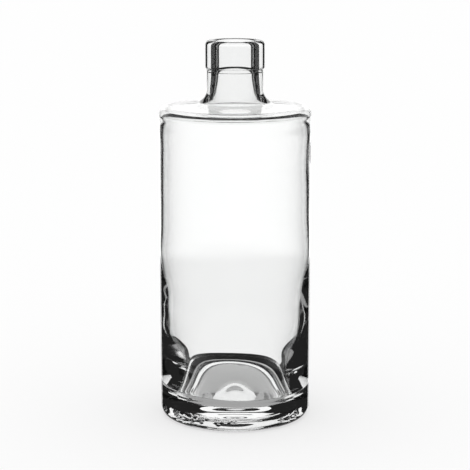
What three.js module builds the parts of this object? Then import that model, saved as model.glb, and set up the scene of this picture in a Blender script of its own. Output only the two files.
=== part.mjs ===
// A clear glass bottle for spirits: a plain cylinder with an almost flat shoulder, a short neck
// with a collar for a cork, and a heavy base with a low push-up. It is blown in a mould as one
// piece, so it is one wall of glass, and its section is one closed outline turned about +Z.
// Millimetres, +Z up, with the origin at the centre of the foot ring that it stands on.
import * as THREE from 'three';

// Outside
const bodyRadius = 38.0;
const totalHeight = 190.0;
const heelRound = 3.1;              // the heel's round is a little taller than it is deep
const heelHeight = 4.6;
const shoulderRound = 4.0;
const shoulderEdgeHeight = 153.5;   // where the straight side ends and the shoulder's edge begins
const shoulderFall = 6.8;           // degrees by which the shoulder falls from the neck to its edge
const neckRadius = 14.0;
const neckFootRound = 6.7;          // hollow curve between the neck and the shoulder
const collarRadius = 14.75;
const collarHeight = 13.8;
const collarFootRound = 0.5;
const lipRound = 2.2;

// Underside: guides of a smooth curve from the axis to the foot ring, each a radius and a height
const footRingInner = 29.8;
const footRingMiddle = 33.8;        // on the flat of the ring, which runs on to the heel's round
const pushUpGuides = [[0, 1.6], [4, 1.6], [9, 0.3], [16, 3.3], [23, 4.3]];

// Inside: the bore takes a cork of 18.5 to 19 mm, and the guides go down from it to the floor
const boreRadius = 9.4;
const mouthRound = 2.2;
const throatGuides = [[9.4, 181], [9.4, 176], [9.6, 171], [10.4, 166], [10.6, 162.5], [15.7, 157.8]];
const ceilingGuides = [[24, 156.3], [30.7, 155.5], [34.7, 155], [36.1, 153.2], [35.9, 150.5]];
const sideTop = [36.0, 146];
const sideFoot = [36.3, 92];
const thickeningGuides = [[36.8, 82], [36.1, 71], [34.9, 60], [34.2, 50], [33.6, 41], [31.4, 33]];
const footGuides = [[28.6, 22], [28.5, 13.8], [29, 15.5], [25, 8.2]];
const floorGuides = [[16.2, 10.7], [5, 12.5], [0, 12.5]];

// Fineness of the turned solid
const turnSteps = 64;
const guideSteps = 2;
const roundSteps = 5;
const smallRoundSteps = 3;
const endGap = 0.3;

const radians = (degrees) => degrees * Math.PI / 180;

// Points along a round, which may be oval, both ends included. Angles are in degrees, 0 pointing
// away from the axis and 90 pointing up.
function arc([centreR, centreZ], [radiusR, radiusZ], from, to, steps) {
  const points = [];
  for (let step = 0; step <= steps; step += 1) {
    const angle = radians(from + (to - from) * step / steps);
    points.push([centreR + radiusR * Math.cos(angle), centreZ + radiusZ * Math.sin(angle)]);
  }
  return points;
}

const even = (radius) => [radius, radius];

const distance = ([r, z], [otherR, otherZ]) => Math.hypot(r - otherR, z - otherZ);

// A smooth curve from the first guide to the last, pulled by those between: a cubic B-spline. Its
// points crowd together at both ends, so those next to an end are left out.
function guided(guides) {
  const first = guides[0];
  const last = guides[guides.length - 1];
  const held = [first, first, ...guides, last, last];
  const points = [];
  for (let start = 0; start + 3 < held.length; start += 1) {
    const [a, b, c, d] = held.slice(start, start + 4);
    for (let step = 0; step < guideSteps; step += 1) {
      const t = step / guideSteps;
      const pullA = (1 - t) ** 3 / 6;
      const pullB = (3 * t ** 3 - 6 * t ** 2 + 4) / 6;
      const pullC = (-3 * t ** 3 + 3 * t ** 2 + 3 * t + 1) / 6;
      const pullD = t ** 3 / 6;
      points.push([0, 1].map((axis) => (
        pullA * a[axis] + pullB * b[axis] + pullC * c[axis] + pullD * d[axis])));
    }
  }
  const between = points.filter((point) => (
    distance(point, first) > endGap && distance(point, last) > endGap));
  return [first, ...between, last];
}

// The underside, from the middle outwards: the hollow of the push-up and the flat ring that the
// bottle stands on.
function underside() {
  return guided([...pushUpGuides, [footRingInner, 0], [footRingMiddle, 0]]);
}

// The outside, from the foot ring up to the top of the lip.
function outside() {
  const slope = Math.tan(radians(shoulderFall));
  const edgeStop = 90 - shoulderFall;
  const edgeCentre = bodyRadius - shoulderRound;
  const edgeR = edgeCentre + shoulderRound * Math.cos(radians(edgeStop));
  const edgeZ = shoulderEdgeHeight + shoulderRound * Math.sin(radians(edgeStop));
  const footCentre = neckRadius + neckFootRound;
  const footAngle = 270 - shoulderFall;
  const footR = footCentre + neckFootRound * Math.cos(radians(footAngle));
  const footZ = edgeZ + (edgeR - footR) * slope;
  const footCentreZ = footZ - neckFootRound * Math.sin(radians(footAngle));
  const collarFoot = [collarRadius - collarFootRound, totalHeight - collarHeight + collarFootRound];
  const lip = [collarRadius - lipRound, totalHeight - lipRound];
  return [
    ...arc([bodyRadius - heelRound, heelHeight], [heelRound, heelHeight], -90, 0, roundSteps),
    ...arc([edgeCentre, shoulderEdgeHeight], even(shoulderRound), 0, edgeStop, roundSteps),
    ...arc([footCentre, footCentreZ], even(neckFootRound), footAngle, 180, roundSteps),
    ...arc(collarFoot, even(collarFootRound), -90, 0, smallRoundSteps),
    ...arc(lip, even(lipRound), 0, 90, roundSteps),
  ];
}

// The inside, from the mouth down the bore, over the ceiling of the cavity, down its side, round
// the foot of the cavity and in over the floor to the middle.
function inside() {
  const mouthCentre = [boreRadius + mouthRound, totalHeight - mouthRound];
  const mouth = arc(mouthCentre, even(mouthRound), 90, 180, smallRoundSteps);
  const boreTop = mouth[mouth.length - 1];
  return [
    ...mouth,
    ...guided([boreTop, ...throatGuides, ...ceilingGuides, sideTop]),
    ...guided([sideFoot, ...thickeningGuides, ...footGuides, ...floorGuides]),
  ];
}

// Drops a point that repeats the one before it, so that no face has a side of no length.
function withoutRepeats(points) {
  const tooClose = 1e-6;
  return points.filter((point, index) => (
    index === 0 || distance(point, points[index - 1]) > tooClose));
}

function glassBottle() {
  const outline = withoutRepeats([...underside(), ...outside(), ...inside()]);
  const profile = outline.map(([r, z]) => new THREE.Vector2(r, z));
  const geometry = new THREE.LatheGeometry(profile, turnSteps);
  geometry.rotateX(Math.PI / 2);    // a lathe turns about +Y, and this bottle stands along +Z
  const clearGlass = new THREE.MeshStandardMaterial({
    color: 0xeef2f0,
    roughness: 0.03,
    metalness: 0.0,
    transparent: true,
    opacity: 0.35,
  });
  const mesh = new THREE.Mesh(geometry, clearGlass);
  mesh.name = 'glass_bottle';
  return mesh;
}

const group = new THREE.Group();
group.add(glassBottle());

export default group;
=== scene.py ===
# %% [markdown]
# A clear glass spirits bottle
# The bottle is one piece of moulded glass. Its body, shoulder, neck, collar and base are a single
# wall that runs from the foot ring up to the lip and down again inside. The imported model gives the
# place and the size. This lesson turns the same section with a finer surface, lets the inside wall
# waver as blown glass does, puts the mould's marks round the heel, makes the glass, and sets the
# bottle against a bright field, which is how clear glass is photographed.

# %% Open the frame
import math
import bmesh
import bpy
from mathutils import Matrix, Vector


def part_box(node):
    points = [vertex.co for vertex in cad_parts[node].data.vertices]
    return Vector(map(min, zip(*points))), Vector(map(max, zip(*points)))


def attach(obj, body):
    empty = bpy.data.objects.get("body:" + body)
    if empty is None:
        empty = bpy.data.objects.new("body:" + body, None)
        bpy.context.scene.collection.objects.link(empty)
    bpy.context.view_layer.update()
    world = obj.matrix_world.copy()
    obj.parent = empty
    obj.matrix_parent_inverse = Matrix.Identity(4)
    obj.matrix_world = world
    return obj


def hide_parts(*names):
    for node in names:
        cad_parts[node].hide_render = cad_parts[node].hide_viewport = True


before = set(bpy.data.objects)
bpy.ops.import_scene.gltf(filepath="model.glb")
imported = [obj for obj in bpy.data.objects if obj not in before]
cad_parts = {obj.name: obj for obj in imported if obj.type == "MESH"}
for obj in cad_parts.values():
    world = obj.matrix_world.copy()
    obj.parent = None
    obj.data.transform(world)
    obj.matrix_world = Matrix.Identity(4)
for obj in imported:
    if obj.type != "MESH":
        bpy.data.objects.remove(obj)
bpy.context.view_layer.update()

NODE = "glass_bottle"
MM = 0.001
node_low, node_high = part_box(NODE)
BODY_RADIUS = (node_high.x - node_low.x) / 2
HEIGHT = node_high.z
print("body radius", round(BODY_RADIUS / MM, 2), "mm, height", round(HEIGHT / MM, 2), "mm")

# %% [markdown]
# The camera
# It stands in front of the bottle, a little above its mouth, and looks down by about eleven
# degrees. A shifted lens could keep the sides parallel, but a plain turned camera gives every other
# view the same lens. It is long enough that the sides stay nearly parallel, and short enough that
# the mouth is seen almost edge on while the base is seen from well above.

# %% Camera
IMAGE_SIDE = 470
FOCAL_PIXELS = 1600.0
SENSOR_WIDTH_MM = 36.0
CLIP_NEAR = 0.01
CLIP_FAR = 50.0
CAMERA_DISTANCE = 792.1 * MM
CAMERA_HEIGHT = 251.1 * MM
CAMERA_PITCH = math.radians(11.36)


def make_camera():
    data = bpy.data.cameras.new("camera")
    data.sensor_width = SENSOR_WIDTH_MM
    data.lens = FOCAL_PIXELS / IMAGE_SIDE * SENSOR_WIDTH_MM
    data.clip_start = CLIP_NEAR
    data.clip_end = CLIP_FAR
    camera = bpy.data.objects.new("camera", data)
    camera.location = (0.0, -CAMERA_DISTANCE, CAMERA_HEIGHT)
    camera.rotation_euler = (math.pi / 2 - CAMERA_PITCH, 0.0, 0.0)
    bpy.context.scene.collection.objects.link(camera)
    bpy.context.scene.camera = camera
    return camera


camera = make_camera()
print("lens", round(camera.data.lens, 1), "mm")

# %% [markdown]
# The section of the glass
# On the real bottle the outside is the mould's shape, and the inside is what the air left. Two
# solids could be cut from each other with a Boolean modifier, but one outline that starts and ends
# on the axis keeps the glass a single closed body, and light only bends rightly through a closed
# body. Small helpers draw its round, straight and freely curved stretches. Guides are written in
# millimetres and turned into Blender's metres where they are used.

# %% Outline helpers
def arc(centre, radii, start, end, steps):
    """Points along an ellipse's arc in the plane of radius and height, angles in degrees."""
    points = []
    for step in range(steps + 1):
        angle = math.radians(start + (end - start) * step / steps)
        points.append((centre[0] + radii[0] * math.cos(angle),
                       centre[1] + radii[1] * math.sin(angle)))
    return points


def ease(t):
    """A swell from 0 to 1 that is level at both ends."""
    return (1 - math.cos(math.pi * min(1.0, max(0.0, t)))) / 2


def run(start, end, steps):
    """Points along a straight stretch, both ends left out."""
    points = []
    for step in range(1, steps):
        t = step / steps
        points.append((start[0] + (end[0] - start[0]) * t, start[1] + (end[1] - start[1]) * t))
    return points


def metres(guides):
    """Guides of radius and height in millimetres, turned into metres."""
    return [(r * MM, z * MM) for r, z in guides]


def guided(guides, steps):
    """A smooth curve from the first guide to the last, pulled by those between: a cubic B-spline."""
    held = [guides[0]] * 2 + list(guides) + [guides[-1]] * 2
    points = []
    for first in range(len(held) - 3):
        for step in range(steps):
            t = step / steps
            pulls = (
                (1 - t) ** 3,
                3 * t ** 3 - 6 * t ** 2 + 4,
                -3 * t ** 3 + 3 * t ** 2 + 3 * t + 1,
                t ** 3,
            )
            near = list(zip(pulls, held[first:first + 4]))
            r = sum(pull * guide[0] for pull, guide in near) / 6
            z = sum(pull * guide[1] for pull, guide in near) / 6
            points.append((r, z))
    points.append(tuple(guides[-1]))
    return points


# %% [markdown]
# The underside is pushed up, so that the bottle stands on a narrow ring and can't rock. Its curve
# is drawn from the axis outwards with a few guides, as a spline modeller would place them.

# %% The underside
FOOT_RING_INNER = 29.8 * MM
FOOT_RING_MIDDLE = 33.8 * MM
PUSH_UP_GUIDES = ((0.0, 1.25), (4.0, 1.25), (9.0, 0.3), (16.0, 2.7), (23.0, 4.3))
GUIDE_STEPS = 5


def underside():
    ring = [(FOOT_RING_INNER, 0.0), (FOOT_RING_MIDDLE, 0.0)]
    return guided(metres(PUSH_UP_GUIDES) + ring, GUIDE_STEPS)


print("underside", len(underside()), "points")

# %% [markdown]
# The outside goes from the heel up the side, over the shoulder's edge, along its shallow cone, up
# the hollow at the neck's foot and over the collar to the lip. The corners are arcs rather than
# bevels, because a turned section takes an arc at no cost and keeps its true radius.

# %% The outside
HEEL_ROUND = 3.1 * MM
HEEL_HEIGHT = 4.6 * MM
MARKED_TOP = 14.0 * MM
SHOULDER_ROUND = 4.0 * MM
SHOULDER_EDGE = 153.5 * MM
SHOULDER_FALL = 6.8
NECK_RADIUS = 14.0 * MM
NECK_FOOT_ROUND = 6.7 * MM
COLLAR_RADIUS = 14.75 * MM
COLLAR_HEIGHT = 13.8 * MM
COLLAR_FOOT_ROUND = 0.5 * MM
LIP_ROUND = 2.2 * MM
HEEL_STEPS = 16
BAND_STEPS = 12
SIDE_STEPS = 22
EDGE_STEPS = 14
SHOULDER_STEPS = 8
NECK_FOOT_STEPS = 16
NECK_STEPS = 5
COLLAR_FOOT_STEPS = 6
COLLAR_STEPS = 4
LIP_STEPS = 12
slope = math.tan(math.radians(SHOULDER_FALL))
edge_stop = 90 - SHOULDER_FALL
edge_centre = BODY_RADIUS - SHOULDER_ROUND
edge_r = edge_centre + SHOULDER_ROUND * math.cos(math.radians(edge_stop))
edge_z = SHOULDER_EDGE + SHOULDER_ROUND * math.sin(math.radians(edge_stop))


def outside():
    foot_angle = 270 - SHOULDER_FALL
    foot_centre = NECK_RADIUS + NECK_FOOT_ROUND
    foot_r = foot_centre + NECK_FOOT_ROUND * math.cos(math.radians(foot_angle))
    foot_z = edge_z + (edge_r - foot_r) * slope
    foot_centre_z = foot_z - NECK_FOOT_ROUND * math.sin(math.radians(foot_angle))
    collar_foot = HEIGHT - COLLAR_HEIGHT
    heel = arc((BODY_RADIUS - HEEL_ROUND, HEEL_HEIGHT),
               (HEEL_ROUND, HEEL_HEIGHT), -90, 0, HEEL_STEPS)
    band = run(heel[-1], (BODY_RADIUS, MARKED_TOP), BAND_STEPS) + [(BODY_RADIUS, MARKED_TOP)]
    side = run(band[-1], (BODY_RADIUS, SHOULDER_EDGE), SIDE_STEPS)
    edge = arc((edge_centre, SHOULDER_EDGE),
               (SHOULDER_ROUND, SHOULDER_ROUND), 0, edge_stop, EDGE_STEPS)
    shoulder = run((edge_r, edge_z), (foot_r, foot_z), SHOULDER_STEPS)
    foot = arc((foot_centre, foot_centre_z),
               (NECK_FOOT_ROUND, NECK_FOOT_ROUND), foot_angle, 180, NECK_FOOT_STEPS)
    neck = run(foot[-1], (NECK_RADIUS, collar_foot), NECK_STEPS)
    collar_low = arc((COLLAR_RADIUS - COLLAR_FOOT_ROUND, collar_foot + COLLAR_FOOT_ROUND),
                     (COLLAR_FOOT_ROUND, COLLAR_FOOT_ROUND), -90, 0, COLLAR_FOOT_STEPS)
    collar = run(collar_low[-1], (COLLAR_RADIUS, HEIGHT - LIP_ROUND), COLLAR_STEPS)
    lip = arc((COLLAR_RADIUS - LIP_ROUND, HEIGHT - LIP_ROUND),
              (LIP_ROUND, LIP_ROUND), 0, 90, LIP_STEPS)
    return heel + band + side + edge + shoulder + foot + neck + collar_low + collar + lip


print("outside", len(outside()), "points")

# %% [markdown]
# The inside goes back down: the mouth's round, a straight bore shaped by the plunger, a throat that
# opens like a bell under the shoulder, a thin side, a wall that thickens towards the heavy base, a
# tight corner and a domed floor. Blown glass is never even, so the side is drawn twice, from the
# thickness of the wall on the left and on the right at a few heights, and so is the foot.

# %% The inside
BORE_RADIUS = 9.4 * MM
MOUTH_ROUND = 2.2 * MM
MOUTH_STEPS = 8
THROAT = ((9.4, 181.0), (9.4, 176.0), (9.6, 171.0), (10.4, 166.0), (10.6, 162.5), (15.7, 157.8))
CEILING = ((24.0, 156.3), (30.7, 155.5), (34.7, 155.0), (36.1, 153.2))
WALLS = (
    (150.0, 2.6, 2.7),
    (144.0, 2.0, 1.8),
    (136.0, 2.1, 2.0),
    (125.0, 2.0, 2.3),
    (112.0, 1.9, 1.9),
    (99.0, 1.8, 1.9),
    (91.0, 1.7, 1.5),
    (84.0, 1.1, 1.2),
    (77.0, 1.3, 1.2),
    (70.0, 1.8, 2.0),
    (63.0, 2.8, 2.9),
    (56.0, 3.2, 3.7),
    (49.0, 3.7, 4.1),
    (41.0, 3.9, 4.9),
    (33.0, 6.6, 6.7),
)
FOOT_LEFT = ((28.6, 22.8), (28.5, 14.7), (29.1, 16.4), (25.1, 8.7), (16.0, 10.8))
FOOT_RIGHT = ((28.5, 21.2), (28.5, 12.9), (29.0, 14.6), (25.0, 7.7), (16.4, 10.6))
FLOOR_MIDDLE = ((5.0, 12.5), (0.0, 12.5))


def inside(walls, foot):
    mouth = arc((BORE_RADIUS + MOUTH_ROUND, HEIGHT - MOUTH_ROUND),
                (MOUTH_ROUND, MOUTH_ROUND), 90, 180, MOUTH_STEPS)
    above = metres(THROAT + CEILING)
    side = [(BODY_RADIUS - wall * MM, z * MM) for z, wall in walls]
    below = metres(foot + FLOOR_MIDDLE)
    return mouth + guided([mouth[-1]] + above + side + below, GUIDE_STEPS)


left_side = inside([(z, left) for z, left, right in WALLS], FOOT_LEFT)
right_side = inside([(z, right) for z, left, right in WALLS], FOOT_RIGHT)
print("inside", len(left_side), "points on each side")

# %% [markdown]
# Turning the section
# A Screw modifier would turn the outline too, but spin in bmesh does it once and for all, and with
# use_merge it closes the seam. A layer on the points remembers which of them belong to the inside
# wall, because spin copies it to every point that it makes.

# %% Turn the section
TURN_STEPS = 192
SAME_POINT = 1e-7
ML_PER_CUBIC_METRE = 1e6


def turned_glass():
    bm = bmesh.new()
    is_inside = bm.verts.layers.float.new("inside")
    lean_out = bm.verts.layers.float.new("lean_out")
    lean_up = bm.verts.layers.float.new("lean_up")
    verts = []
    for r, z in underside() + outside():
        if not verts or math.dist((verts[-1].co.x, verts[-1].co.z), (r, z)) > SAME_POINT:
            verts.append(bm.verts.new((r, 0.0, z)))
    for (left_r, left_z), (right_r, right_z) in zip(left_side, right_side):
        vert = bm.verts.new(((left_r + right_r) / 2, 0.0, (left_z + right_z) / 2))
        vert[is_inside] = 1.0
        vert[lean_out] = (right_r - left_r) / 2
        vert[lean_up] = (right_z - left_z) / 2
        if math.dist(verts[-1].co, vert.co) > SAME_POINT:
            verts.append(vert)
        else:
            bm.verts.remove(vert)
    edges = [bm.edges.new(pair) for pair in zip(verts, verts[1:])]
    bmesh.ops.spin(bm, geom=verts + edges, cent=(0, 0, 0), axis=(0, 0, 1), dvec=(0, 0, 0),
                   angle=math.tau, steps=TURN_STEPS, use_merge=True)
    bmesh.ops.remove_doubles(bm, verts=bm.verts, dist=SAME_POINT)
    bmesh.ops.recalc_face_normals(bm, faces=bm.faces)
    return bm, is_inside, lean_out, lean_up


glass, is_inside, lean_out, lean_up = turned_glass()
glass_ml = glass.calc_volume() * ML_PER_CUBIC_METRE
print("turned glass", len(glass.faces), "faces,", round(glass_ml, 1), "ml")

# %% [markdown]
# A wall that leans
# The section above is the mean of the two sides. On the real bottle the glass settled more on one
# side, so each point of the inside wall now moves by half the difference between them, times how
# far it faces to the right. Layers on the points carry the two halves. A Lattice would lean the wall
# too, but this keeps the outside where the mould left it.

# %% Lean the wall
def lean(bm):
    most = 0.0
    for vert in bm.verts:
        r = math.hypot(vert.co.x, vert.co.y)
        if vert[is_inside] < 0.5 or r < SAME_POINT:
            continue
        facing = vert.co.x / r
        scale = (r + vert[lean_out] * facing) / r
        vert.co.x *= scale
        vert.co.y *= scale
        vert.co.z += vert[lean_up] * facing
        most = max(most, abs(vert[lean_out] * facing))
    return most


print("most lean", round(lean(glass) / MM, 2), "mm")

# %% [markdown]
# The marks round the heel
# The mould leaves small groups of dots round the heel. They are sunk here by a fraction of a
# millimetre, so that the piece keeps its size. The few faces in each group are first subdivided,
# because a turned section is much too coarse for them, and only then pressed in by a formula. It
# spreads a group's dots as a sunflower spreads its seeds, and starts each group at another turn.

# %% Press the marks
MARK_ANGLES = (-69.5, -51.0, -26.3, -12.4, -1.6, 54.4)
BAR_ANGLE = -33.6
MARK_HEIGHT = 5.6 * MM
MARK_HALF_WIDTH = 3.3 * MM
MARK_HALF_HEIGHT = 2.9 * MM
MARK_MARGIN = 0.4 * MM
DOT_COUNT = 6
DOT_TURN = 137.5
MARK_SPIN = 5.0
DOT_RADIUS = 1.15 * MM
BAR_HALF_WIDTH = 0.8 * MM
DOT_DEPTH = 0.35 * MM
MARK_CUTS = 4
SKIN_INNER = BODY_RADIUS - HEEL_ROUND / 2


def round_angle(co):
    """Degrees round the bottle from its front, towards the right."""
    return math.degrees(math.atan2(co.x, -co.y))


def across(co, angle):
    """How far round the outside a point lies from a mark's middle."""
    return math.radians((round_angle(co) - angle + 180) % 360 - 180) * BODY_RADIUS


def skin_radius(height):
    """The radius of the outside at a height above the floor, below the top of the marked band."""
    if height >= HEEL_HEIGHT:
        return BODY_RADIUS
    return BODY_RADIUS - HEEL_ROUND + HEEL_ROUND * math.sqrt(1 - (1 - height / HEEL_HEIGHT) ** 2)


def dots(u, v, turn):
    """Depth of the dots scattered from a mark's middle outwards, from 0 to 1."""
    if abs(u) > MARK_HALF_WIDTH or abs(v) > MARK_HALF_HEIGHT:
        return 0.0
    deepest = 0.0
    for count in range(DOT_COUNT):
        reach = math.sqrt((count + 0.5) / DOT_COUNT)
        way = math.radians(turn + count * DOT_TURN)
        dot_u = (MARK_HALF_WIDTH - DOT_RADIUS) * reach * math.cos(way)
        dot_v = (MARK_HALF_HEIGHT - DOT_RADIUS) * reach * math.sin(way)
        deepest = max(deepest, ease(1 - math.hypot(u - dot_u, v - dot_v) / DOT_RADIUS))
    return deepest


def bar(u, v):
    """Depth of the upright bar, from 0 to 1."""
    return ease(1 - math.hypot(u / BAR_HALF_WIDTH, v / MARK_HALF_HEIGHT))


def press_marks(bm):
    for angle in MARK_ANGLES + (BAR_ANGLE,):
        edges = {}
        for face in bm.faces:
            middle = face.calc_center_median()
            if abs(middle.z - MARK_HEIGHT) > MARK_HALF_HEIGHT + MARK_MARGIN:
                continue
            if math.hypot(middle.x, middle.y) < SKIN_INNER:
                continue
            if abs(across(middle, angle)) < MARK_HALF_WIDTH + MARK_MARGIN:
                edges.update(dict.fromkeys(face.edges))
        bmesh.ops.subdivide_edges(bm, edges=list(edges), cuts=MARK_CUTS, use_grid_fill=True)
    pressed = 0
    for vert in bm.verts:
        r = math.hypot(vert.co.x, vert.co.y)
        if vert[is_inside] > 0.5 or vert.co.z > MARKED_TOP or r < SKIN_INNER:
            continue
        up = vert.co.z - MARK_HEIGHT
        depth = max(dots(across(vert.co, angle), up, angle * MARK_SPIN) for angle in MARK_ANGLES)
        depth = max(depth, bar(across(vert.co, BAR_ANGLE), up))
        wanted = skin_radius(vert.co.z) - depth * DOT_DEPTH
        vert.co.x *= wanted / r
        vert.co.y *= wanted / r
        pressed += depth > 0
    return pressed


print("pressed points", press_marks(glass))

# %% [markdown]
# The finished mesh
# The faces are smoothed so that light bends evenly across them, and the mesh becomes the object
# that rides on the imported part. One piece of glass stays one piece here.

# %% The finished mesh
def finished_piece(bm, name):
    for face in bm.faces:
        face.smooth = True
    mesh = bpy.data.meshes.new(name)
    bm.to_mesh(mesh)
    open_edges = sum(1 for edge in bm.edges if len(edge.link_faces) != 2)
    print(name, len(bm.faces), "faces, open edges", open_edges)
    bm.free()
    piece = bpy.data.objects.new(name, mesh)
    bpy.context.scene.collection.objects.link(piece)
    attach(piece, "root")
    return piece


bottle = finished_piece(glass, "bottle")
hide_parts(NODE)

# %% [markdown]
# Shader helpers
# A node tree reads best as a sum. One small class wraps a socket, so that an expression in Python
# adds its Math nodes, and one method makes every other node. Sockets go by their names, or by a
# named place in the list where a mixing node has two of the same name.

# %% Shader helpers
FACTOR, FIRST_SHADER, SECOND_SHADER = 0, 1, 2
FIRST_COLOUR, SECOND_COLOUR, MIXED_COLOUR = 6, 7, 2


class Field:
    """A number that varies over a surface, with the operators that are used on it."""

    def __init__(self, graph, socket):
        self.graph = graph
        self.socket = socket

    def math(self, operation, first, second):
        return self.graph.node("ShaderNodeMath", {"operation": operation}, {0: first, 1: second})

    def __add__(self, other):
        return self.math("ADD", self, other)

    def __mul__(self, other):
        return self.math("MULTIPLY", self, other)

    def __sub__(self, other):
        return self.math("SUBTRACT", self, other)

    def __rsub__(self, other):
        return self.math("SUBTRACT", other, self)

    __radd__ = __add__
    __rmul__ = __mul__


class Graph:
    """The nodes of one material or world."""

    def __init__(self, owner):
        owner.use_nodes = True
        self.tree = owner.node_tree
        self.tree.nodes.clear()

    def node(self, kind, settings=None, inputs=None, output=0):
        made = self.tree.nodes.new(kind)
        for name, value in (settings or {}).items():
            setattr(made, name, value)
        for name, value in (inputs or {}).items():
            if isinstance(value, Field):
                self.tree.links.new(value.socket, made.inputs[name])
            else:
                made.inputs[name].default_value = value
        return Field(self, made.outputs[output]) if made.outputs else made


# %% [markdown]
# The glass
# Real flint glass is colourless but not perfect: it carries a trace of grey-green that drifts a
# little, its skin has a very slow ripple from the mould, and the ring that it stands on is scuffed
# dull. Noise in the object's own coordinates gives the drift and the ripple, and the height above
# the floor picks out the scuffed ring, so nothing has to be unwrapped.

# %% Glass
GLASS_IOR = 1.52
CLEAREST = (1.0, 1.0, 1.0, 1.0)
FAINT_TINT = (0.985, 0.992, 0.988, 1.0)
TINT_SCALE = 30.0
RIPPLE_SCALE = 55.0
RIPPLE_DETAIL = 1.0
RIPPLE_DEPTH = 0.01 * MM
SCUFF_TOP = 0.25 * MM
SCUFF_SCALE = 900.0
SCUFF_ROUGHNESS = 0.3


def clear_glass():
    material = bpy.data.materials.new("clear_glass")
    graph = Graph(material)
    place = graph.node("ShaderNodeTexCoord", output="Object")
    drift = graph.node("ShaderNodeTexNoise", inputs={"Vector": place, "Scale": TINT_SCALE})
    tint = graph.node("ShaderNodeMix", {"data_type": "RGBA"}, {
        FACTOR: drift,
        FIRST_COLOUR: CLEAREST,
        SECOND_COLOUR: FAINT_TINT,
    }, output=MIXED_COLOUR)
    height = graph.node("ShaderNodeSeparateXYZ", inputs={"Vector": place}, output="Z")
    scuffs = graph.node("ShaderNodeTexNoise", inputs={"Vector": place, "Scale": SCUFF_SCALE})
    on_ring = height.math("LESS_THAN", height, SCUFF_TOP)
    ripple = graph.node("ShaderNodeTexNoise", inputs={
        "Vector": place,
        "Scale": RIPPLE_SCALE,
        "Detail": RIPPLE_DETAIL,
    })
    bump = graph.node("ShaderNodeBump", inputs={
        "Height": ripple,
        "Strength": 1.0,
        "Distance": RIPPLE_DEPTH,
    })
    shader = graph.node("ShaderNodeBsdfPrincipled", inputs={
        "Base Color": tint,
        "Transmission Weight": 1.0,
        "IOR": GLASS_IOR,
        "Roughness": on_ring * scuffs * SCUFF_ROUGHNESS,
        "Normal": bump,
    })
    graph.node("ShaderNodeOutputMaterial", inputs={"Surface": shader})
    return material


bottle.data.materials.append(clear_glass())
print("glass", bottle.data.materials[0].name)

# %% [markdown]
# The stage
# Clear glass has no colour of its own: what draws it is what it bends into view. A photographer
# stands it before a bright card that just fills the picture and keeps the rest of the room dark, so
# that the middle is white and every edge, which bends light from beside the card, is dark. Here the
# card hangs on the camera, so that it stays behind the bottle in every view.

# %% The bright field
FIELD_BEHIND = 0.60
FIELD_HALF_WIDTH = 0.28
FIELD_FOOT = -0.30
FIELD_HEAD = 0.52
FIELD_STRENGTH = 1.2
UPPER_TONE = 0.88
LOWER_TONE = 0.87
LOWER_FADE = (-0.045, 0.015)
UPPER_FADE = (0.115, 0.155)


def card(name, corners, material):
    bm = bmesh.new()
    bmesh.ops.contextual_create(bm, geom=[bm.verts.new(corner) for corner in corners])
    mesh = bpy.data.meshes.new(name)
    bm.to_mesh(mesh)
    bm.free()
    mesh.materials.append(material)
    made = bpy.data.objects.new(name, mesh)
    bpy.context.scene.collection.objects.link(made)
    return made


def glow(name, tone_in, strength):
    material = bpy.data.materials.new(name)
    graph = Graph(material)
    tone = tone_in(graph)
    colour = graph.node("ShaderNodeCombineColor", inputs={"Red": tone, "Green": tone, "Blue": tone})
    light = graph.node("ShaderNodeEmission", inputs={"Color": colour, "Strength": strength})
    graph.node("ShaderNodeOutputMaterial", inputs={"Surface": light})
    return material


def field_tone(graph):
    """Brightest behind the middle of the body, and a little less above and below."""
    place = graph.node("ShaderNodeTexCoord", output="Object")
    height = graph.node("ShaderNodeSeparateXYZ", inputs={"Vector": place}, output="Y")

    def fade(span, change):
        return graph.node("ShaderNodeMapRange", {"interpolation_type": "SMOOTHSTEP"}, {
            "Value": height,
            "From Min": span[0],
            "From Max": span[1],
            "To Min": 0.0,
            "To Max": change,
        })

    return LOWER_TONE + fade(LOWER_FADE, 1 - LOWER_TONE) - fade(UPPER_FADE, 1 - UPPER_TONE)


field_away = -(CAMERA_DISTANCE + FIELD_BEHIND)
field_corners = (
    (-FIELD_HALF_WIDTH, FIELD_FOOT, field_away),
    (FIELD_HALF_WIDTH, FIELD_FOOT, field_away),
    (FIELD_HALF_WIDTH, FIELD_HEAD, field_away),
    (-FIELD_HALF_WIDTH, FIELD_HEAD, field_away),
)
field = card("bright_field", field_corners, glow("bright_field", field_tone, FIELD_STRENGTH))
field.parent = camera
print("bright field", round(field.dimensions.x, 2), "by", round(field.dimensions.y, 2), "m")

# %% [markdown]
# The table under the base
# Through the base one sees the table in the bottle's own shade, a mid grey that just fills the
# foot. A round patch with that tone is steadier than a real shadow of glass, which is noisy.

# %% The table under the base
PATCH_RADIUS = 37.5 * MM
PATCH_DROP = 0.2 * MM
PATCH_TONE = 0.40
PATCH_TURN = 5
PATCH_STRENGTH = 1.0
patch_turns = [math.radians(turn) for turn in range(0, 360, PATCH_TURN)]
patch_corners = [
    (PATCH_RADIUS * math.cos(turn), PATCH_RADIUS * math.sin(turn), -PATCH_DROP)
    for turn in patch_turns
]
patch = card("table_patch", patch_corners,
             glow("table_patch", lambda graph: PATCH_TONE, PATCH_STRENGTH))
for lit in (field, patch):
    lit.visible_camera = False
    lit.visible_diffuse = False
    lit.visible_shadow = False
print("patch", len(patch_corners), "corners")

# %% [markdown]
# The floor
# It is plain and white and keeps the bottle's shadow. Most of its white is seen by the camera only,
# so that the shadow stays as faint as it is on a photographer's white sweep. The glass is kept from
# seeing it, because so wide a white floor would fill in the dark edges from below.

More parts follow.
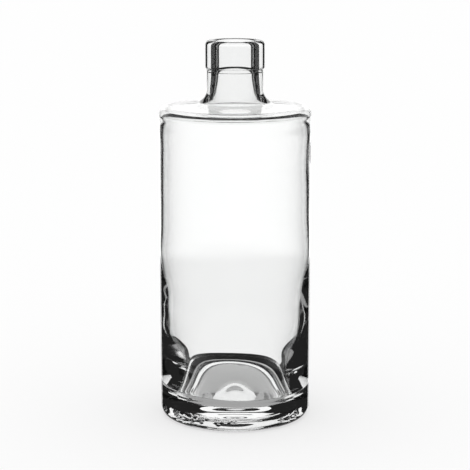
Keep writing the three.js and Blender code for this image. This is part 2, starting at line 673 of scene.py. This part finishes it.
# %% The floor
FLOOR_HALF_SIDE = 6.0
FLOOR_DROP = 0.4 * MM
FLOOR_COLOUR = (0.98, 0.98, 0.98, 1.0)
FLOOR_WHITE = 1.0
SEEN_SHARE = 0.6


def floor_paint():
    material = bpy.data.materials.new("floor")
    graph = Graph(material)
    paint = graph.node("ShaderNodeBsdfDiffuse", inputs={"Color": FLOOR_COLOUR})
    light = graph.node("ShaderNodeEmission", inputs={"Strength": FLOOR_WHITE})
    seen = graph.node("ShaderNodeLightPath", output="Is Camera Ray")
    mix = graph.node("ShaderNodeMixShader", inputs={
        FACTOR: seen * SEEN_SHARE,
        FIRST_SHADER: paint,
        SECOND_SHADER: light,
    })
    graph.node("ShaderNodeOutputMaterial", inputs={"Surface": mix})
    return material


floor_corners = (
    (-FLOOR_HALF_SIDE, -FLOOR_HALF_SIDE, -FLOOR_DROP),
    (FLOOR_HALF_SIDE, -FLOOR_HALF_SIDE, -FLOOR_DROP),
    (FLOOR_HALF_SIDE, FLOOR_HALF_SIDE, -FLOOR_DROP),
    (-FLOOR_HALF_SIDE, FLOOR_HALF_SIDE, -FLOOR_DROP),
)
floor = card("floor", floor_corners, floor_paint())
floor.visible_transmission = False
floor.visible_glossy = False
print("floor", round(floor.dimensions.x, 1), "m wide")

# %% [markdown]
# The room
# The air is white for the camera and for the floor, and nearly black for what the glass bends or
# mirrors, as the dark studio is beside the card. A light tent would do the first half, but it would
# take the dark edges away, and they are what draws the bottle.

# %% The room
ROOM_COLOUR = (1.0, 1.0, 1.0, 1.0)
ROOM_LIGHT = 1.0
ROOM_BESIDE_FIELD = 0.016
BOUNCES = 24
GLOSSY_BOUNCES = 16


def studio():
    world = bpy.data.worlds.new("studio")
    graph = Graph(world)
    mirrored = graph.node("ShaderNodeLightPath", output="Is Glossy Ray")
    through = graph.node("ShaderNodeLightPath", output="Is Transmission Ray")
    bent = through.math("MAXIMUM", through, mirrored)
    room = graph.node("ShaderNodeBackground", inputs={"Color": ROOM_COLOUR, "Strength": ROOM_LIGHT})
    dark = graph.node("ShaderNodeBackground", inputs={
        "Color": ROOM_COLOUR,
        "Strength": ROOM_BESIDE_FIELD,
    })
    mix = graph.node("ShaderNodeMixShader", inputs={
        FACTOR: bent,
        FIRST_SHADER: room,
        SECOND_SHADER: dark,
    })
    graph.node("ShaderNodeOutputWorld", inputs={"Surface": mix})
    return world


scene = bpy.context.scene
scene.world = studio()
scene.view_settings.view_transform = "Standard"
scene.cycles.max_bounces = BOUNCES
scene.cycles.transmission_bounces = BOUNCES
scene.cycles.glossy_bounces = GLOSSY_BOUNCES
print("world", scene.world.name)
